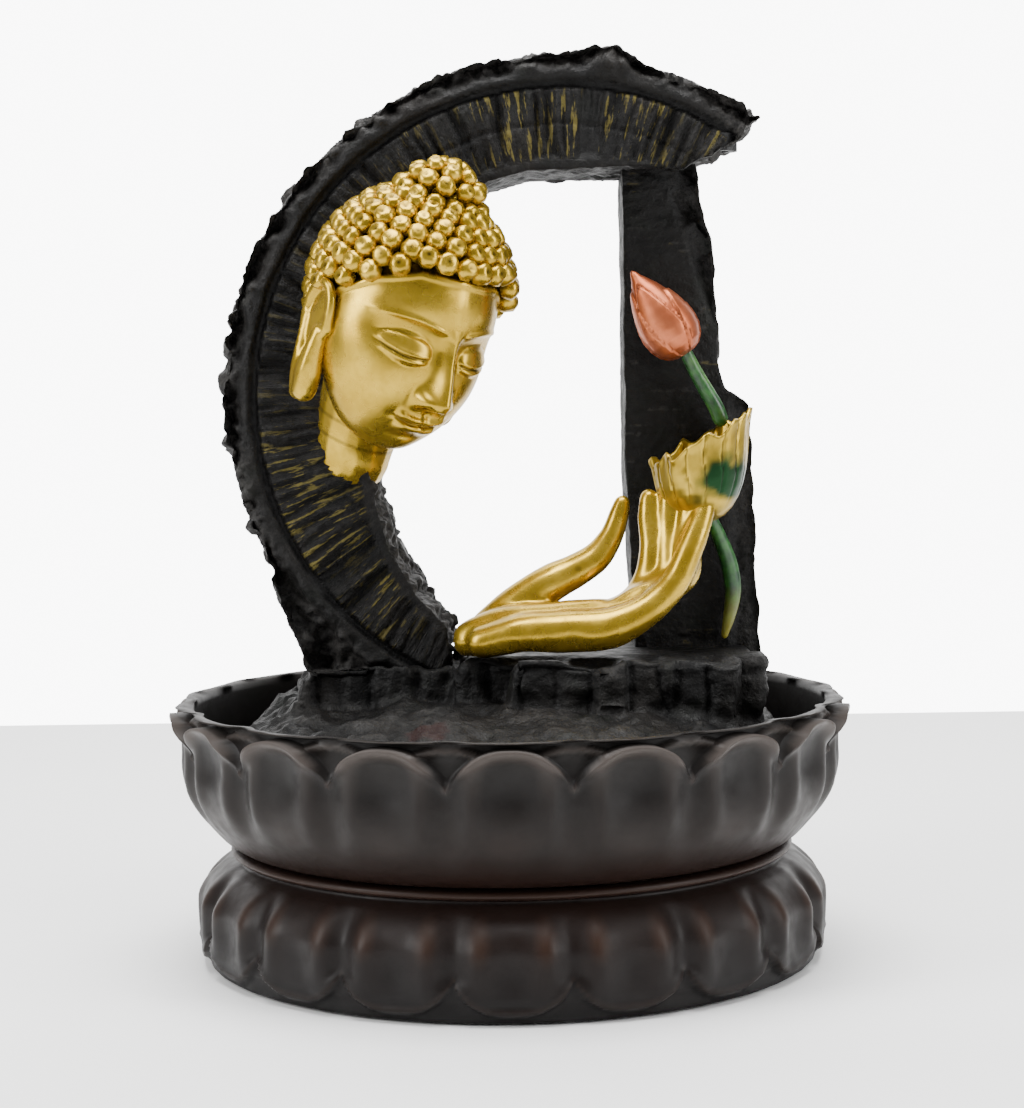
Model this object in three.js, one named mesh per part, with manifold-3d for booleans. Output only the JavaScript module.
// Tabletop water fountain: a rock crescent with a gilded head and an open hand, in a lotus basin.
// Millimetres, +Z up. The origin is the middle of the footprint, on the table; -Y is the front.
import * as THREE from "three";
import { mergeVertices } from "three/addons/utils/BufferGeometryUtils.js";
import Module from "manifold-3d";

const wasm = await Module();
wasm.setup();

// ---------- driving dimensions ----------
const GLUE_GAP = 0.3; // between pieces that touch
const CUT_OVERRUN = 2; // how far a cutting tool runs past what it cuts

// Basin: a lotus bowl on a lotus pedestal
const PETALS = 18;
const PETAL_SWELL = 2; // how far a petal's middle stands out
const PETAL_CURL = 6.5; // how far its tip leans out at the rim
const RIM_RADIUS = 134;
const BOWL_DEPTH = 57;
const WAIST_HEIGHT = 48;
const WAIST_INSET = 22; // from the rim in to the waist
const PEDESTAL_INSET = 7.5; // from the rim in to the pedestal's widest
const WAIST_RADIUS = RIM_RADIUS - WAIST_INSET;
const PEDESTAL_RADIUS = RIM_RADIUS - PEDESTAL_INSET;
const RIM_HEIGHT = WAIST_HEIGHT + BOWL_DEPTH;
const MOULDED_WALL = 3;
const FLANGE_WIDTH = 14; // pedestal's top flange, which carries the bowl
const FOOT_LIP_WIDTH = 16;
const FOOT_PROUD = 1; // rubber feet lift the pedestal by this
const FOOT_RADIUS = 6;
const FOOT_THICKNESS = 2.2;
const SCREWS = 4;
const SCREW_RADIUS = 1.9;
const SCREW_HEAD_RADIUS = 3.8;
const SCREW_LENGTH = 8;
const BOSS_RADIUS = 4.6;
const BOSS_HEIGHT = 7;

// Rock mound
const MOUND_HEIGHT = 64.4; // to its crown, from the bowl's floor
const MOAT_FRONT = 14; // water's width between the mound and the rim, front and back
const MOAT_SIDE = 22; // the same, left and right
const MOUND_FRONT_REACH = RIM_RADIUS - MOAT_FRONT;
const MOUND_SIDE_REACH = RIM_RADIUS - MOAT_SIDE;
const MOUND_WALL = 6;
const PLINTH_RISE = 3; // under the crescent, above the crown
const LEDGE_RISE = 10; // under the hand and the post, above the crown
const LEDGE_FRONT = 58;
const NOTCH_WIDTH = 24; // lets water back to the pump
const NOTCH_HEIGHT = 11;

// Crescent
const ARCH_RADIUS = 137;
const ARCH_CENTRE_X = 23;
const ARCH_DEPTH = 58;
const ARCH_BACK = 30; // y of its back face
const ARCH_TIP_ANGLE = 54;
const ARCH_FOOT_ANGLE = 212;
const SOFFIT_SHARE = 0.657; // inner radius over outer, straight above the centre

// Post
const POST_LEFT = 48;
const POST_FRONT = -10;
const POST_DEPTH = 38;
const POST_HEAD_WIDTH = 26;
const POST_FOOT_WIDTH = 53;

// Water way
const TUBE_RADIUS = 5.5;
const TUBE_WALL = 1.5;
const TUBE_CLEARANCE = 1;
const TUBE_X = POST_LEFT + 12;
const TUBE_Y = 3;
const SPOUT_X = POST_LEFT + 39;
const SPOUT_Y = -17;
const SPOUT_WALL = 1.4;
const SPOUT_LENGTH = 7;
const SPOUT_LIP = 2; // narrows the spout under the tube's end

// Gilded head, measured without its topknot
const HEAD_HEIGHT = 98;
const HEAD_WIDTH = 74;
const HEAD_DEPTH = 82;
const HEAD_TURN = 38; // degrees towards the post
const HEAD_BOW = 17; // degrees forward
const HEAD_LEAN = 12; // degrees, its crown towards the post
const HEAD_PROUD = 10; // how far its middle stands out of the crescent's face

// Bud, leaf cup and stems
const BUD_RADIUS = 11.5;
const BUD_LENGTH = 40;
const BUD_TILT = -33;
const CUP_RADIUS = 19;
const CUP_DEPTH = 33;
const CUP_WALL = 2.4;
const CUP_RIM_SLOPE = 0.5; // the rim rises towards the post's side
const CUP_RISE = 52; // tip above the ledge
const STEM_RADIUS = 2.6;
const LEAF_STEM_RADIUS = 3.4;

// Pump
const PUMP_HALF_WIDTH = 16;
const PUMP_HEIGHT = PUMP_HALF_WIDTH * 2;
const PUMP_WALL = 2;
const PUMP_BODY_LENGTH = 36;
const SUCTION_HEIGHT = 6;
const PUMP_AXIS_HEIGHT = SUCTION_HEIGHT + PUMP_HALF_WIDTH; // rotor axis above the bowl's floor
const VOLUTE_RADIUS = PUMP_HALF_WIDTH - 3;
const VOLUTE_LENGTH = 14;
const VOLUTE_WALL = 2.7;
const IMPELLER_CLEARANCE = 1;
const IMPELLER_RADIUS = VOLUTE_RADIUS - VOLUTE_WALL - IMPELLER_CLEARANCE;
const IMPELLER_BLADES = 6;
const CORE_BAR = 3.2; // thickness of the stator's legs
const WELL_WALL = 1.6;
const ROTOR_CLEARANCE = 1;
const MAGNET_RADIUS = PUMP_HALF_WIDTH - 9.4;
const MAGNET_LENGTH = 16;
const SHAFT_RADIUS = 1.1;
const BUSH_RADIUS = 2.4;
const COVER_LENGTH = 27;
const DIAL_RADIUS = 6;
const DIAL_THICKNESS = 3;

// ---------- solids ----------
const solidOf = (geometry) => {
  const bare = geometry.clone();
  for (const name of Object.keys(bare.attributes)) if (name !== "position") bare.deleteAttribute(name);
  const merged = mergeVertices(bare, 1e-3);
  const triVerts = new Uint32Array(merged.index.array);
  const vertProperties = new Float32Array(merged.attributes.position.array);
  return new wasm.Manifold(new wasm.Mesh({ numProp: 3, vertProperties, triVerts }));
};

const geometryOf = (solid) => {
  const mesh = solid.getMesh();
  const positions = new Float32Array(mesh.numVert * 3);
  for (let i = 0; i < mesh.numVert; i++) {
    positions.set(mesh.vertProperties.subarray(i * mesh.numProp, i * mesh.numProp + 3), i * 3);
  }
  const geometry = new THREE.BufferGeometry();
  geometry.setAttribute("position", new THREE.BufferAttribute(positions, 3));
  geometry.setIndex(new THREE.BufferAttribute(mesh.triVerts, 1));
  geometry.computeVertexNormals();
  return geometry;
};

const join = (...solids) => solids.reduce((all, solid) => all.add(solid));
const cut = (solid, ...tools) => tools.reduce((left, tool) => left.subtract(tool), solid);
const largest = (solid) => solid.decompose().reduce((a, b) => (a.volume() > b.volume() ? a : b));

// A solid cut clear of its neighbour, which is cut out again at each shift to keep a gap.
const ALL_ROUND = [[1, 0, 0], [-1, 0, 0], [0, 1, 0], [0, -1, 0], [0, 0, 1], [0, 0, -1]];
const clearOf = (solid, neighbour, shifts = ALL_ROUND) => {
  const tools = shifts.map((shift) => neighbour.translate(shift.map((share) => share * GLUE_GAP)));
  return largest(cut(solid, neighbour, ...tools));
};

const degrees = THREE.MathUtils.degToRad;
const lerp = THREE.MathUtils.lerp;
const v3 = (x, y, z) => new THREE.Vector3(x, y, z);

const box = (x0, x1, y0, y1, z0, z1) => {
  const geometry = new THREE.BoxGeometry(x1 - x0, y1 - y0, z1 - z0);
  return solidOf(geometry.translate((x0 + x1) / 2, (y0 + y1) / 2, (z0 + z1) / 2));
};

// A profile of [radius, height] pairs turned about Z, from axis to axis or closed on itself.
const turned = (profile, segments) => {
  const points = profile.map(([radius, height]) => new THREE.Vector2(radius, height));
  const onAxis = profile[0][0] === 0 && profile.at(-1)[0] === 0;
  if (!onAxis) points.push(points[0].clone());
  if (THREE.ShapeUtils.area(points) < 0) points.reverse();
  return new THREE.LatheGeometry(points, segments).rotateX(Math.PI / 2);
};

const rod = (radius, z0, z1, segments = 20) =>
  solidOf(turned([[0, z0], [radius, z0], [radius, z1], [0, z1]], segments));

const ring = (inner, outer, z0, z1, segments = 20) =>
  solidOf(turned([[inner, z0], [outer, z0], [outer, z1], [inner, z1]], segments));

// An outline in X and Z, given depth from y0 back to y1.
const slab = (shape, y0, y1, curveSegments = 12) => {
  const depth = y1 - y0;
  const geometry = new THREE.ExtrudeGeometry(shape, { depth, bevelEnabled: false, curveSegments });
  return solidOf(geometry.rotateX(Math.PI / 2).translate(0, y1, 0));
};

const swept = (points, radius, steps, sides, hole = 0) => {
  const section = new THREE.Shape().absarc(0, 0, radius, 0, Math.PI * 2);
  if (hole > 0) section.holes.push(new THREE.Path().absarc(0, 0, hole, 0, Math.PI * 2, true));
  const extrudePath = new THREE.CatmullRomCurve3(points);
  const settings = { steps, extrudePath, curveSegments: sides / 2, bevelEnabled: false };
  return solidOf(new THREE.ExtrudeGeometry(section, settings));
};

const ball = (at, rx, ry = rx, rz = rx, segments = 8) => {
  const sphere = new THREE.SphereGeometry(1, segments, Math.round(segments * 0.6));
  return solidOf(sphere.scale(rx, ry, rz).translate(at.x, at.y, at.z));
};

// A limb that tapers from one ball to the next.
const limb = (points, radii) => {
  const pieces = points.map((point, i) => ball(point, radii[i]));
  for (let i = 1; i < points.length; i++) {
    const along = points[i].clone().sub(points[i - 1]);
    const cone = new THREE.CylinderGeometry(radii[i], radii[i - 1], along.length(), 8);
    const turn = new THREE.Quaternion().setFromUnitVectors(v3(0, 1, 0), along.clone().normalize());
    const middle = points[i - 1].clone().addScaledVector(along, 0.5);
    pieces.push(solidOf(cone.applyQuaternion(turn).translate(middle.x, middle.y, middle.z)));
  }
  return join(...pieces);
};

// ---------- materials ----------
const finish = (color, roughness, metalness = 0) =>
  new THREE.MeshStandardMaterial({ color, roughness, metalness });
const BASIN_PLASTIC = finish("#2b2526", 0.42);
const ROCK_RESIN = finish("#1b1a19", 0.6);
const GOLD_PAINT = finish("#b99a3c", 0.35, 0.6);
const LEAF_PAINT = finish("#8d8a34", 0.4, 0.3);
const STEM_PAINT = finish("#3f6b38", 0.45);
const COPPER_PAINT = finish("#c07a55", 0.4, 0.4);
const PUMP_PLASTIC = finish("#15171a", 0.5);
const RUBBER = finish("#202020", 0.85);
const SILICONE = finish("#d9dedb", 0.35);
const STEEL = finish("#9a9c9e", 0.35, 0.9);
const COPPER_WIRE = finish("#a85a32", 0.4, 0.8);
const EPOXY = finish("#1a1a1c", 0.3);
const FERRITE = finish("#2c2c2e", 0.6, 0.3);
const CERAMIC = finish("#e8e4da", 0.3);
const FOAM = finish("#26282b", 0.95);

const fountain = new THREE.Group();

const node = (name, solid, material, group = fountain) => {
  const mesh = new THREE.Mesh(geometryOf(solid), material);
  mesh.name = name;
  group.add(mesh);
  return mesh;
};

// ---------- lotus basin ----------
const SEGMENTS_PER_PETAL = 4;
const FLOOR_BOTTOM = WAIST_HEIGHT + GLUE_GAP;
const FLOOR_TOP = FLOOR_BOTTOM + MOULDED_WALL;
const SCREW_CIRCLE = WAIST_RADIUS - MOULDED_WALL - FLANGE_WIDTH / 2;
const screwAngles = Array.from({ length: SCREWS }, (_, i) => ((i + 0.5) * 2 * Math.PI) / SCREWS);
const onCircle = (solid, radius, angle) =>
  solid.translate([radius * Math.cos(angle), radius * Math.sin(angle), 0]);

// Turned shell whose marked rows swell out in petals. Each row is [radius, height, swell].
const petalled = (rows) => {
  const geometry = turned(rows.map(([radius, height]) => [radius, height]), PETALS * SEGMENTS_PER_PETAL);
  const swellAt = (x, y, z) => {
    const row = rows.find(([r, h]) => Math.abs(h - z) < 0.01 && Math.abs(r - Math.hypot(x, y)) < 0.01);
    return row && row[2] ? row[2] : 0;
  };
  const position = geometry.attributes.position;
  for (let i = 0; i < position.count; i++) {
    const [x, y, z] = [position.getX(i), position.getY(i), position.getZ(i)];
    const swell = swellAt(x, y, z);
    if (!swell) continue;
    const angle = Math.atan2(x, -y);
    const share = 1 + (swell * (1 + Math.cos(PETALS * angle))) / 2 / Math.hypot(x, y);
    position.setXY(i, x * share, y * share);
  }
  return solidOf(geometry);
};

// How the bowl's wall goes from the waist (0, 0) to the rim (1, 1), as shares of radius and height.
const BOWL_CURVE = [
  [0, 0], [0.34, 0.09], [0.56, 0.19], [0.78, 0.31], [0.93, 0.44], [1, 0.62], [0.99, 0.8], [0.98, 1],
];
const bowlRow = ([r, h], inset = 0) => [
  lerp(WAIST_RADIUS, RIM_RADIUS, r) - inset,
  lerp(FLOOR_BOTTOM, RIM_HEIGHT, h),
];
const BOWL_INSIDE = [BOWL_CURVE.at(-1), [1, 0.62], [0.56, 0.19], [0.34, 0.09]];
const basinBowl = () => {
  const swellAt = (h) => (h > 0.2 ? PETAL_SWELL : 0);
  const outside = BOWL_CURVE.map(([r, h]) => [...bowlRow([r, h]), h === 1 ? PETAL_CURL : swellAt(h)]);
  const inside = BOWL_INSIDE.map((row) => bowlRow(row, MOULDED_WALL));
  const floor = [[inside.at(-1)[0] - MOULDED_WALL, FLOOR_TOP], [0, FLOOR_TOP]];
  const shell = petalled([[0, FLOOR_BOTTOM], ...outside, ...inside, ...floor]);
  const boss = rod(BOSS_RADIUS, FLOOR_BOTTOM + 1, FLOOR_TOP + BOSS_HEIGHT, 14);
  const pilot = rod(SCREW_RADIUS + GLUE_GAP, FLOOR_BOTTOM - 1, FLOOR_BOTTOM + SCREW_LENGTH, 12);
  const bosses = screwAngles.map((angle) => onCircle(boss, SCREW_CIRCLE, angle));
  const pilots = screwAngles.map((angle) => onCircle(pilot, SCREW_CIRCLE, angle));
  return cut(join(shell, ...bosses), ...pilots);
};

// The same for the pedestal, from its foot (0) up to the waist (1).
const PEDESTAL_CURVE = [
  [0.82, 0], [0.82, 0.07], [1, 0.08], [0.98, 0.3], [0.95, 0.48],
  [0.86, 0.62], [0.62, 0.76], [0.3, 0.87], [0.3, 0.94], [0, 1],
];
const PEDESTAL_INSIDE = [[0.62, 0.76], [0.95, 0.48], [0.98, 0.3]];
const pedestalRow = ([r, h], inset = 0) => [
  lerp(WAIST_RADIUS, PEDESTAL_RADIUS, r) - inset,
  lerp(FOOT_PROUD, WAIST_HEIGHT, h),
];
const BAND_RADIUS = pedestalRow(PEDESTAL_CURVE[0])[0];
const FOOT_CIRCLE = BAND_RADIUS - FOOT_LIP_WIDTH / 2;
const pedestal = () => {
  const swellAt = (h) => (h > 0.07 && h < 0.7 ? PETAL_SWELL : 0);
  const outside = PEDESTAL_CURVE.map(([r, h]) => [...pedestalRow([r, h]), swellAt(h)]);
  const lipTop = FOOT_PROUD + MOULDED_WALL;
  const flangeInner = WAIST_RADIUS - MOULDED_WALL - FLANGE_WIDTH;
  const inside = [
    [flangeInner, WAIST_HEIGHT],
    [flangeInner, WAIST_HEIGHT - MOULDED_WALL],
    [WAIST_RADIUS - MOULDED_WALL, WAIST_HEIGHT - MOULDED_WALL],
    ...PEDESTAL_INSIDE.map((row) => pedestalRow(row, MOULDED_WALL)),
    [BAND_RADIUS - MOULDED_WALL, lipTop],
    [BAND_RADIUS - FOOT_LIP_WIDTH, lipTop],
    [BAND_RADIUS - FOOT_LIP_WIDTH, FOOT_PROUD],
  ];
  const screwHole = rod(SCREW_RADIUS + GLUE_GAP, WAIST_HEIGHT - MOULDED_WALL - 1, WAIST_HEIGHT + 1, 12);
  const footSeat = rod(FOOT_RADIUS + GLUE_GAP, 0, FOOT_THICKNESS + GLUE_GAP, 16);
  const screwHoles = screwAngles.map((angle) => onCircle(screwHole, SCREW_CIRCLE, angle));
  const footSeats = screwAngles.map((angle) => onCircle(footSeat, FOOT_CIRCLE, angle));
  return cut(petalled([...outside, ...inside]), ...screwHoles, ...footSeats);
};

node("basin_bowl", basinBowl(), BASIN_PLASTIC);
node("pedestal", pedestal(), BASIN_PLASTIC);
screwAngles.forEach((angle, i) => {
  const headTop = WAIST_HEIGHT - MOULDED_WALL - GLUE_GAP;
  const screw = join(
    rod(SCREW_HEAD_RADIUS, headTop - 2.4, headTop, 12),
    rod(SCREW_RADIUS, headTop - 1, FLOOR_BOTTOM + SCREW_LENGTH - 1, 12),
  );
  node(`basin_screw_${i + 1}`, onCircle(screw, SCREW_CIRCLE, angle), STEEL);
  const foot = rod(FOOT_RADIUS, 0, FOOT_THICKNESS, 16);
  node(`rubber_foot_${i + 1}`, onCircle(foot, FOOT_CIRCLE, angle), RUBBER);
});

// ---------- rock mound ----------
// The mound's outside, from its foot up to its crown, as shares of its reach and height.
const MOUND_FOOT = FLOOR_TOP + GLUE_GAP;
const CROWN = MOUND_FOOT + MOUND_HEIGHT;
const TERRACE_HEIGHT = CROWN + PLINTH_RISE;
const LEDGE_HEIGHT = CROWN + LEDGE_RISE;
const MOUND_CURVE = [
  [0.86, 0], [0.97, 0.32], [1, 0.6], [0.98, 0.75], [0.9, 0.83], [0.68, 0.92], [0.38, 1], [0, 1],
];
const HOLLOW_CURVE = [[0.86, 0], [0.97, 0.32], [0.97, 0.55], [0.66, 0.74], [0.6, 0.8]];
const TUBE_BORE_RADIUS = TUBE_RADIUS + TUBE_CLEARANCE;
const LEDGE_RIGHT = POST_LEFT + POST_FOOT_WIDTH + 2;
const ledgeCorners = [
  [-24, 18 - LEDGE_FRONT],
  [4, -LEDGE_FRONT],
  [60, 2 - LEDGE_FRONT],
  [LEDGE_RIGHT - 8, 12 - LEDGE_FRONT],
  [LEDGE_RIGHT, POST_FRONT],
  [LEDGE_RIGHT, POST_FRONT + POST_DEPTH + 4],
  [40, POST_FRONT + POST_DEPTH + 8],
  [-18, 26],
];
const outlineOf = (corners) => new THREE.Shape(corners.map(([x, y]) => new THREE.Vector2(x, y)));
const upright = (corners, z0, z1) => {
  const geometry = new THREE.ExtrudeGeometry(outlineOf(corners), { depth: z1 - z0, bevelEnabled: false });
  return solidOf(geometry.translate(0, 0, z0));
};
const oval = (profile, segments) => {
  const geometry = turned(profile, segments);
  return solidOf(geometry.scale(MOUND_SIDE_REACH, MOUND_FRONT_REACH, 1));
};

const rockMound = () => {
  const heightAt = (share) => lerp(MOUND_FOOT, CROWN, share);
  const dome = oval([[0, MOUND_FOOT], ...MOUND_CURVE.map(([r, h]) => [r, heightAt(h)])], 40);
  const plinth = box(-84, -19, ARCH_BACK - ARCH_DEPTH - 5, ARCH_BACK + 5, heightAt(0.65), TERRACE_HEIGHT);
  const ledge = upright(ledgeCorners, heightAt(0.6), LEDGE_HEIGHT);
  const within = oval([[0, MOUND_FOOT], [1, MOUND_FOOT], [1, LEDGE_HEIGHT + 1], [0, LEDGE_HEIGHT + 1]], 40);
  const thinner = MOUND_WALL / MOUND_FRONT_REACH;
  const hollowRows = HOLLOW_CURVE.map(([r, h]) => [r - thinner, heightAt(h)]);
  const below = MOUND_FOOT - CUT_OVERRUN;
  const hollow = oval([[0, below], [hollowRows[0][0], below], ...hollowRows, [0, heightAt(0.8)]], 32);
  const tubeHole = rod(TUBE_BORE_RADIUS, FLOOR_TOP, LEDGE_HEIGHT + 1).translate([TUBE_X, TUBE_Y, 0]);
  const half = NOTCH_WIDTH / 2;
  const notch = box(70, MOUND_FRONT_REACH + 10, -half, half, FLOOR_TOP - 1, FLOOR_TOP + NOTCH_HEIGHT);
  const notches = screwAngles.map((angle) => notch.rotate([0, 0, THREE.MathUtils.radToDeg(angle)]));
  return cut(join(dome, join(plinth, ledge).intersect(within)), hollow, tubeHole, ...notches);
};
const mound = rockMound();
node("rock_mound", mound, ROCK_RESIN);

// ---------- water tube and spout ----------
const ARCH_CENTRE_Z = TERRACE_HEIGHT + GLUE_GAP + ARCH_RADIUS * 0.8;
const soffitHeight = ARCH_CENTRE_Z + ARCH_RADIUS * SOFFIT_SHARE;
const spoutBottom = soffitHeight + 7;
const spoutTop = spoutBottom + SPOUT_LENGTH;
const tubeEnd = spoutBottom + SPOUT_LIP + GLUE_GAP;
// From the pump straight up through the post, then over to the spout. Each bend is
// [share of the way across, height above the crescent's soffit].
const BENDS = [[0, -3], [0.05, 9], [0.3, 20], [0.67, 24.5], [0.94, 21]];
const across = (share, height) => v3(lerp(TUBE_X, SPOUT_X, share), lerp(TUBE_Y, SPOUT_Y, share), height);
const tubeRoute = [
  across(0, FLOOR_TOP + PUMP_HEIGHT + SUCTION_HEIGHT + 8),
  across(0, lerp(FLOOR_TOP, soffitHeight, 0.6)),
  ...BENDS.map(([share, rise]) => across(share, soffitHeight + rise)),
  v3(SPOUT_X, SPOUT_Y, spoutTop),
  v3(SPOUT_X, SPOUT_Y, tubeEnd),
];
const waterTube = swept(tubeRoute, TUBE_RADIUS, 34, 10, TUBE_RADIUS - TUBE_WALL);
const tubeWay = swept(tubeRoute, TUBE_BORE_RADIUS, 34, 10);
node("water_tube", waterTube, SILICONE);

const SPOUT_BORE = TUBE_RADIUS + 0.5;
const SPOUT_OUTER = SPOUT_BORE + SPOUT_WALL;
const spout = solidOf(turned([
  [TUBE_RADIUS - TUBE_WALL, spoutBottom],
  [SPOUT_OUTER, spoutBottom],
  [SPOUT_OUTER, spoutTop],
  [SPOUT_BORE, spoutTop],
  [SPOUT_BORE, spoutBottom + SPOUT_LIP],
  [TUBE_RADIUS - TUBE_WALL, spoutBottom + SPOUT_LIP],
], 16)).translate([SPOUT_X, SPOUT_Y, 0]);
const spoutSeat = rod(SPOUT_OUTER + GLUE_GAP, spoutBottom - 20, spoutTop + GLUE_GAP, 16);

// ---------- crescent ----------
const onArch = (radius, angle) => [
  ARCH_CENTRE_X + radius * Math.cos(degrees(angle)),
  ARCH_CENTRE_Z + radius * Math.sin(degrees(angle)),
];
// The inner edge, from the foot round to the soffit: [angle, share of the outer radius].
const INNER_EDGE = [
  [243, 0.754], [232, 0.717], [220, 0.674], [204, 0.615], [183, 0.585], [159, 0.6], [139, 0.631],
  [121, 0.657],
  [105, 0.657], [90, SOFFIT_SHARE],
];
const crescentShape = () => {
  const foot = TERRACE_HEIGHT + GLUE_GAP;
  const shape = new THREE.Shape();
  const [start, end] = [degrees(ARCH_TIP_ANGLE), degrees(ARCH_FOOT_ANGLE)];
  shape.absarc(ARCH_CENTRE_X, ARCH_CENTRE_Z, ARCH_RADIUS, start, end);
  shape.lineTo(-80, foot);
  shape.lineTo(-24, foot);
  for (const [angle, share] of INNER_EDGE) shape.lineTo(...onArch(ARCH_RADIUS * share, angle));
  shape.lineTo(POST_LEFT + POST_HEAD_WIDTH - 2, soffitHeight);
  shape.lineTo(SPOUT_X - 9, spoutBottom);
  shape.lineTo(SPOUT_X + 5, spoutBottom + 3);
  return shape;
};
const crescentBody = slab(crescentShape(), ARCH_BACK - ARCH_DEPTH, ARCH_BACK, 18);
const crescent = largest(cut(crescentBody, tubeWay, spoutSeat.translate([SPOUT_X, SPOUT_Y, 0])));
node("rock_crescent", crescent, ROCK_RESIN);
node("water_spout", spout, PUMP_PLASTIC);

// ---------- post ----------
const POST_TOP = soffitHeight - GLUE_GAP;
// Right-hand corners: [beyond the left edge, share of the post's height].
const POST_CORNERS = [
  [POST_FOOT_WIDTH, 0], [POST_FOOT_WIDTH, 0.41], [POST_FOOT_WIDTH - 2, 0.5], [POST_FOOT_WIDTH - 14, 0.57],
  [POST_HEAD_WIDTH + 11, 0.71], [POST_HEAD_WIDTH + 8, 0.86], [POST_HEAD_WIDTH - 1, 1],
];
const onPost = (share) => lerp(LEDGE_HEIGHT + GLUE_GAP, POST_TOP, share);
const postShape = () => outlineOf([
  [POST_LEFT, onPost(0)],
  ...POST_CORNERS.map(([across, share]) => [POST_LEFT + across, onPost(share)]),
  [POST_LEFT, POST_TOP],
]);
const postBody = slab(postShape(), POST_FRONT, POST_FRONT + POST_DEPTH);
const postBore = rod(TUBE_BORE_RADIUS, LEDGE_HEIGHT - 1, soffitHeight + 1, 16);
const post = cut(postBody, postBore.translate([TUBE_X, TUBE_Y, 0]));
node("rock_post", post, ROCK_RESIN);

// ---------- gilded head ----------
const headSolid = () => {
  const [w, d, h] = [HEAD_WIDTH / 2, HEAD_DEPTH / 2, HEAD_HEIGHT / 2];
  const ear = (side) => ball(v3(side * w * 0.97, d * 0.16, -h * 0.28), w * 0.16, w * 0.24, h * 0.5);
  const whole = join(
    ball(v3(0, 2, h * 0.3), w, d, h * 0.72, 18), // skull and hair
    ball(v3(0, -d * 0.22, -h * 0.3), w * 0.8, d * 0.72, h * 0.68, 16), // face
    ball(v3(0, d * 0.12, h * 1.05), w * 0.44, w * 0.46, h * 0.42, 12), // topknot
    limb([v3(0, d * 0.1, -h * 0.5), v3(0, d * 0.42, -h * 1.12)], [w * 0.5, w * 0.52]), // neck
    ear(-1),
    ear(1),
  );
  const [x, z] = onArch(ARCH_RADIUS * 0.5, 155);
  const y = ARCH_BACK - ARCH_DEPTH - HEAD_PROUD;
  const facing = whole.rotate([HEAD_BOW, 0, 0]).rotate([0, 0, HEAD_TURN]);
  return facing.rotate([0, HEAD_LEAN, 0]).translate([x, y, z]);
};
const head = clearOf(headSolid(), crescentBody, [[1, -1, -1]]);
node("gilded_head", head, GOLD_PAINT);

// ---------- bud, stems, leaf cup and hand ----------
const stand = (solid, tiltY, at) => solid.rotate([0, tiltY, 0]).translate([at.x, at.y, at.z]);

const BUD_BASE = v3(POST_LEFT + 25, POST_FRONT - BUD_RADIUS - GLUE_GAP, onPost(0.617));
const BUD_CURVE = [
  [0, 0], [0.5, 0.03], [0.92, 0.18], [1, 0.35], [0.84, 0.58], [0.5, 0.8], [0.14, 0.97], [0, 1],
];
const budProfile = BUD_CURVE.map(([r, h]) => [r * BUD_RADIUS, h * BUD_LENGTH]);
const bud = stand(solidOf(turned(budProfile, 14)), BUD_TILT, BUD_BASE);
node("lotus_bud", bud, COPPER_PAINT);

const CUP_TIP = v3(POST_LEFT + 30, POST_FRONT - CUP_RADIUS - GLUE_GAP, LEDGE_HEIGHT + CUP_RISE);
const CUP_CURVE = [[0.3, 0.02], [0.72, 0.16], [0.95, 0.42], [1, 1]];
const cupShape = (hollow) => {
  const outside = CUP_CURVE.map(([r, h]) => [r * CUP_RADIUS, h * CUP_DEPTH]);
  const inner = ([r, h]) => [r * CUP_RADIUS - CUP_WALL, lerp(CUP_WALL, CUP_DEPTH, h)];
  const inside = hollow ? CUP_CURVE.map(inner).reverse() : [];
  const profile = [[0, 0], ...outside, ...inside, [0, hollow ? CUP_WALL : CUP_DEPTH]];
  const geometry = turned(profile, 18);
  const position = geometry.attributes.position;
  for (let i = 0; i < position.count; i++) {
    const z = position.getZ(i);
    position.setZ(i, z + (CUP_RIM_SLOPE * position.getX(i) * z) / CUP_DEPTH);
  }
  return solidOf(geometry.translate(CUP_TIP.x, CUP_TIP.y, CUP_TIP.z));
};
const cupFull = cupShape(false);
const cup = cupShape(true);
node("lotus_leaf_cup", cup, LEAF_PAINT);

// Stems run just in front of the post. Each point is [beyond the post's left edge, forward, height].
const stemThrough = (points, radius, steps) => {
  const y = POST_FRONT - LEAF_STEM_RADIUS - 1;
  const path = points.map(([across, forward, z]) => v3(POST_LEFT + across, y - forward, z));
  return swept(path, radius, steps, 8);
};
const cupRim = CUP_TIP.z + CUP_DEPTH;
const budStem = stemThrough([
  [27, 2, BUD_BASE.z - 2],
  [32, 1, lerp(cupRim, BUD_BASE.z, 0.67)],
  [36, 0, lerp(cupRim, BUD_BASE.z, 0.42)],
  [38, 0, lerp(cupRim, BUD_BASE.z, 0.32)],
], STEM_RADIUS, 6);
node("bud_stem", clearOf(clearOf(budStem, bud), cupFull), STEM_PAINT);
const leafStem = stemThrough([
  [36, 5, CUP_TIP.z],
  [42, 0, CUP_TIP.z - 15],
  [44, 0, CUP_TIP.z - 30],
  [40, 0, LEDGE_HEIGHT + LEAF_STEM_RADIUS + GLUE_GAP],
], LEAF_STEM_RADIUS, 10);
const ledgeFront = box(-60, 120, -90, 30, LEDGE_HEIGHT - 20, LEDGE_HEIGHT + GLUE_GAP);
node("leaf_stem", clearOf(cut(leafStem, ledgeFront), cupFull), STEM_PAINT);

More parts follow.
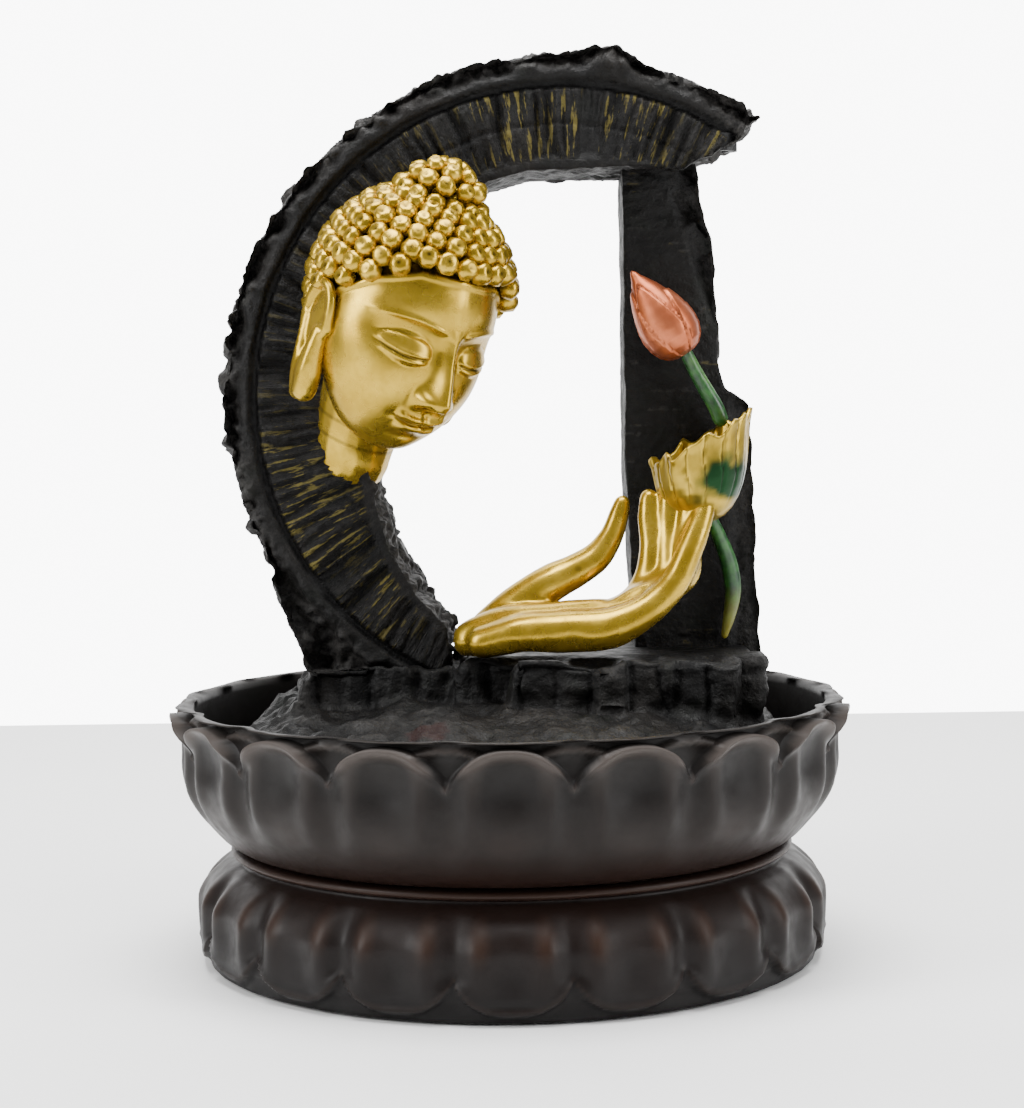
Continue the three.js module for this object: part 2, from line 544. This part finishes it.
const HAND_Y = -37;
const PALM_RISE = 18.5; // middle of the palm above the ledge
const FINGERS = 4;
const FINGER_RADII = [5.8, 5, 3.9];
const handSolid = () => {
  const wrist = [v3(-13, 0, -9), v3(10, 0, -2), v3(32, 0, 0), v3(48, -1, 0)];
  const palm = limb(wrist, [9, 13, 13.5, 9]);
  const thumb = limb([v3(28, 10, 10), v3(39, 14, 24), v3(46, 13, 38)], [7, 5, 4]);
  const fingers = Array.from({ length: FINGERS }, (_, i) => {
    const spread = i / (FINGERS - 1);
    const knuckle = v3(46, lerp(9, -10, spread), 0);
    const joint = v3(lerp(57, 66, spread), lerp(9, -14, spread), 15);
    const tip = v3(lerp(61, 77, spread), lerp(8, -15, spread), lerp(39, 30, spread));
    return limb([knuckle, joint, tip], FINGER_RADII);
  });
  return join(palm, thumb, ...fingers).translate([0, HAND_Y, LEDGE_HEIGHT + PALM_RISE]);
};
node("open_hand", clearOf(cut(handSolid(), ledgeFront), cupFull), GOLD_PAINT);

// ---------- pump: its +X is the intake end, its origin is on the bowl's floor under the outlet ----------
const pump = new THREE.Group();
pump.position.set(TUBE_X, TUBE_Y, FLOOR_TOP);
pump.rotation.z = -Math.PI / 2;
fountain.add(pump);

const HALF_VOLUTE = VOLUTE_LENGTH / 2;
const BODY_FRONT = -HALF_VOLUTE - GLUE_GAP;
const BODY_BACK = BODY_FRONT - PUMP_BODY_LENGTH;
const PUMP_BOTTOM = SUCTION_HEIGHT;
const PUMP_TOP = PUMP_BOTTOM + PUMP_HEIGHT;
const WELL_RADIUS = MAGNET_RADIUS + ROTOR_CLEARANCE;
const WELL_END = BODY_FRONT - MAGNET_LENGTH - 2;
const POTTING_FRONT = WELL_END - PUMP_WALL;
const ROOM_RADIUS = IMPELLER_RADIUS + IMPELLER_CLEARANCE;
const ROOM_HALF = HALF_VOLUTE - 3;
const alongX = (solid) => solid.rotate([0, 90, 0]).translate([0, 0, PUMP_AXIS_HEIGHT]);

const SUCTION_SPOTS = [BODY_BACK + 7, BODY_FRONT - 6].flatMap((x) => [[x, -9], [x, 9]]);
const SUCTION_NECK = 2;
const LEG_INNER = WELL_RADIUS + WELL_WALL;
const LEG_OUTER = LEG_INNER + CORE_BAR;
const CORE_FRONT = BODY_FRONT - 5;
const CORE_BACK = POTTING_FRONT - 7;
const CORE_HALF = PUMP_HALF_WIDTH - 9;
const CORE_LOW = PUMP_AXIS_HEIGHT - CORE_HALF;
const CORE_HIGH = PUMP_AXIS_HEIGHT + CORE_HALF;
const COIL_BACK = CORE_BACK - 2.6;
const COIL_HALF = LEG_INNER - 1.2;
const ROOM_Y = PUMP_HALF_WIDTH - PUMP_WALL;
const CHAMBER_BOTTOM = PUMP_BOTTOM + 3 + PUMP_WALL;

const pumpHousing = () => {
  const shell = box(BODY_BACK, BODY_FRONT, -PUMP_HALF_WIDTH, PUMP_HALF_WIDTH, PUMP_BOTTOM, PUMP_TOP);
  const well = alongX(rod(WELL_RADIUS, WELL_END, BODY_FRONT + 1, 24));
  const chamber = box(BODY_BACK - 1, POTTING_FRONT, -ROOM_Y, ROOM_Y, CHAMBER_BOTTOM, PUMP_TOP - PUMP_WALL);
  const legSlots = [-1, 1].map((side) => {
    const middle = (side * (LEG_INNER + LEG_OUTER)) / 2;
    const half = (LEG_OUTER - LEG_INNER) / 2 + GLUE_GAP;
    const [x0, x1] = [POTTING_FRONT - 1, CORE_FRONT + GLUE_GAP];
    return box(x0, x1, middle - half, middle + half, CORE_LOW - 1, CORE_HIGH + 1);
  });
  const socket = rod(SUCTION_NECK + GLUE_GAP, PUMP_BOTTOM - 1, PUMP_BOTTOM + 3, 12);
  const sockets = SUCTION_SPOTS.map(([x, y]) => socket.translate([x, y, 0]));
  return cut(shell, well, chamber, ...legSlots, ...sockets);
};
node("pump_housing", pumpHousing(), PUMP_PLASTIC, pump);

const stator = join(
  box(CORE_BACK, CORE_FRONT, LEG_INNER, LEG_OUTER, CORE_LOW, CORE_HIGH),
  box(CORE_BACK, CORE_FRONT, -LEG_OUTER, -LEG_INNER, CORE_LOW, CORE_HIGH),
  box(CORE_BACK, CORE_BACK + CORE_BAR, -LEG_OUTER, LEG_OUTER, CORE_LOW, CORE_HIGH),
);
node("stator_core", stator, STEEL, pump);
const barWay = box(
  CORE_BACK - GLUE_GAP, CORE_BACK + CORE_BAR + GLUE_GAP,
  -COIL_HALF - 1, COIL_HALF + 1,
  CORE_LOW - GLUE_GAP, CORE_HIGH + GLUE_GAP,
);
const coilBody = box(COIL_BACK, POTTING_FRONT - 0.8, -COIL_HALF, COIL_HALF, CORE_LOW - 3, CORE_HIGH + 3);
node("stator_coil", cut(coilBody, barWay), COPPER_WIRE, pump);

const POTTING_FACE = COIL_BACK - GLUE_GAP;
const GLAND_RADIUS = 3.4;
const GLAND_RISE = PUMP_HALF_WIDTH - 8;
const pottingBlock = box(
  BODY_BACK + 0.4, POTTING_FACE,
  -ROOM_Y + GLUE_GAP, ROOM_Y - GLUE_GAP,
  CHAMBER_BOTTOM + GLUE_GAP, PUMP_TOP - PUMP_WALL - GLUE_GAP,
);
const raised = (solid) => alongX(solid).translate([0, 0, GLAND_RISE]);
const glandSeat = raised(rod(GLAND_RADIUS + GLUE_GAP, BODY_BACK - 1, POTTING_FACE - 1, 16));
node("epoxy_potting", cut(pottingBlock, glandSeat), EPOXY, pump);
const glandBody = rod(GLAND_RADIUS, BODY_BACK - 7, POTTING_FACE - 1 - GLUE_GAP, 16);
const gland = raised(cut(glandBody, rod(1.6, BODY_BACK - 8, BODY_BACK - 1, 10)));
node("cable_gland", gland, RUBBER, pump);

const STUB_RADIUS = 6.6;
const NOZZLE_RADIUS = 4.8;
const STUB_TOP = PUMP_TOP + 4;
const voluteChamber = () => {
  const shell = join(
    alongX(rod(VOLUTE_RADIUS, -HALF_VOLUTE, HALF_VOLUTE, 28)),
    rod(STUB_RADIUS, PUMP_AXIS_HEIGHT + 4, STUB_TOP, 20),
  );
  const inlets = Array.from({ length: 5 }, (_, i) =>
    alongX(rod(2, ROOM_HALF - 1, HALF_VOLUTE + 1, 10).translate([6.2, 0, 0]).rotate([0, 0, i * 72])));
  return cut(
    shell,
    alongX(rod(ROOM_RADIUS, -ROOM_HALF, ROOM_HALF, 28)),
    alongX(rod(WELL_RADIUS, -HALF_VOLUTE - 1, -ROOM_HALF + 1, 24)),
    alongX(rod(BUSH_RADIUS + GLUE_GAP, ROOM_HALF - 1, ROOM_HALF + 1.8, 14)),
    rod(NOZZLE_RADIUS + GLUE_GAP, PUMP_AXIS_HEIGHT + ROOM_RADIUS - 4, STUB_TOP + 1, 20),
    ...inlets,
  );
};
node("volute_chamber", voluteChamber(), PUMP_PLASTIC, pump);

const TUBE_BORE = TUBE_RADIUS - TUBE_WALL;
const BARB_RADIUS = TUBE_BORE - GLUE_GAP;
const NOZZLE_BORE = 2.2;
const NOZZLE_FOOT = PUMP_AXIS_HEIGHT + ROOM_RADIUS + 1;
const nozzle = solidOf(turned([
  [NOZZLE_BORE, NOZZLE_FOOT],
  [NOZZLE_RADIUS, NOZZLE_FOOT],
  [NOZZLE_RADIUS, STUB_TOP + GLUE_GAP],
  [STUB_RADIUS, STUB_TOP + GLUE_GAP],
  [STUB_RADIUS, STUB_TOP + 2],
  [BARB_RADIUS - 0.6, STUB_TOP + 2],
  [BARB_RADIUS - 0.6, STUB_TOP + 8],
  [BARB_RADIUS, STUB_TOP + 9],
  [BARB_RADIUS - 0.8, STUB_TOP + 14],
  [NOZZLE_BORE, STUB_TOP + 14],
], 16));
node("outlet_nozzle", nozzle, PUMP_PLASTIC, pump);

const SHAFT_BORE = SHAFT_RADIUS + GLUE_GAP;
const MAGNET_BACK = BODY_FRONT - MAGNET_LENGTH + 2;
const magnet = ring(SHAFT_BORE, MAGNET_RADIUS, MAGNET_BACK, -ROOM_HALF - 1, 24);
node("rotor_magnet", alongX(magnet), FERRITE, pump);
const impeller = () => {
  const hub = ring(SHAFT_BORE, 3, -ROOM_HALF - 0.7, ROOM_HALF - 0.8, 16);
  const disc = ring(SHAFT_BORE, IMPELLER_RADIUS, -ROOM_HALF + 0.8, -ROOM_HALF + 2, 24);
  const blade = box(2.4, IMPELLER_RADIUS - 0.3, -0.6, 0.6, -ROOM_HALF + 1, ROOM_HALF - 0.8);
  const turns = Array.from({ length: IMPELLER_BLADES }, (_, i) => (i * 360) / IMPELLER_BLADES);
  const blades = turns.map((turn) => blade.rotate([0, 0, turn]));
  return alongX(join(hub, disc, ...blades));
};
node("impeller", impeller(), CERAMIC, pump);
node("rotor_shaft", alongX(rod(SHAFT_RADIUS, WELL_END + 0.6, ROOM_HALF + 1.4, 12)), CERAMIC, pump);
const bush = (x0, x1) => alongX(ring(SHAFT_BORE, BUSH_RADIUS, x0, x1, 12));
node("shaft_bush_rear", bush(WELL_END + GLUE_GAP, WELL_END + 2), RUBBER, pump);
node("shaft_bush_front", bush(ROOM_HALF + GLUE_GAP, ROOM_HALF + 1.6), RUBBER, pump);

const COVER_BACK = BODY_FRONT + GLUE_GAP;
const COVER_FRONT = COVER_BACK + COVER_LENGTH;
const COVER_FACE = COVER_FRONT - PUMP_WALL; // inside of its front wall
const intakeCover = () => {
  const shell = box(COVER_BACK, COVER_FRONT, -PUMP_HALF_WIDTH, PUMP_HALF_WIDTH, PUMP_BOTTOM, PUMP_TOP);
  const [low, high] = [PUMP_BOTTOM + PUMP_WALL, PUMP_TOP - PUMP_WALL];
  const inside = box(COVER_BACK - 1, COVER_FACE, -ROOM_Y, ROOM_Y, low, high);
  const half = STUB_RADIUS + 1;
  const stubSlot = box(COVER_BACK - 1, half, -half, half, PUMP_TOP - PUMP_WALL - 1, PUMP_TOP + 1);
  const slot = box(COVER_FACE - 1, COVER_FRONT + 1, -0.9, 0.9, PUMP_BOTTOM + 5, PUMP_TOP - 5);
  const slots = [-12, -9, 9, 12].map((y) => slot.translate([0, y, 0]));
  const pinHole = alongX(rod(SHAFT_BORE + 0.4, COVER_FACE - 1, COVER_FRONT + 1, 12));
  return cut(shell, inside, stubSlot, pinHole, ...slots);
};
node("intake_cover", intakeCover(), PUMP_PLASTIC, pump);
const FOAM_Y = ROOM_Y - 0.5;
const FOAM_BOTTOM = PUMP_BOTTOM + PUMP_WALL + 0.5;
const FOAM_TOP = PUMP_TOP - PUMP_WALL - 0.5;
const foam = box(HALF_VOLUTE + 1.2, COVER_FACE - 2.4, -FOAM_Y, FOAM_Y, FOAM_BOTTOM, FOAM_TOP);
node("foam_filter", foam, FOAM, pump);
const DIAL_FRONT = COVER_FRONT + DIAL_THICKNESS;
const [gripLow, gripHigh] = [PUMP_AXIS_HEIGHT - DIAL_RADIUS + 1, PUMP_AXIS_HEIGHT + DIAL_RADIUS - 1];
const grip = box(DIAL_FRONT - 1, DIAL_FRONT + 2, -1.1, 1.1, gripLow, gripHigh);
const dial = join(
  alongX(rod(DIAL_RADIUS, COVER_FRONT + GLUE_GAP, DIAL_FRONT, 20)),
  alongX(rod(SHAFT_BORE, COVER_FACE - 1.6, COVER_FRONT + 1, 12)),
  grip,
);
node("flow_dial", dial, PUMP_PLASTIC, pump);

const suctionCup = solidOf(turned([
  [0, 1.6],
  [5.6, 0.3],
  [6, 0.9],
  [SUCTION_NECK, 4],
  [SUCTION_NECK, PUMP_BOTTOM + 2.4],
  [0, PUMP_BOTTOM + 2.4],
], 12));
SUCTION_SPOTS.forEach(([x, y], i) => {
  node(`suction_cup_${i + 1}`, suctionCup.translate([x, y, 0]), RUBBER, pump);
});

export default fountain;
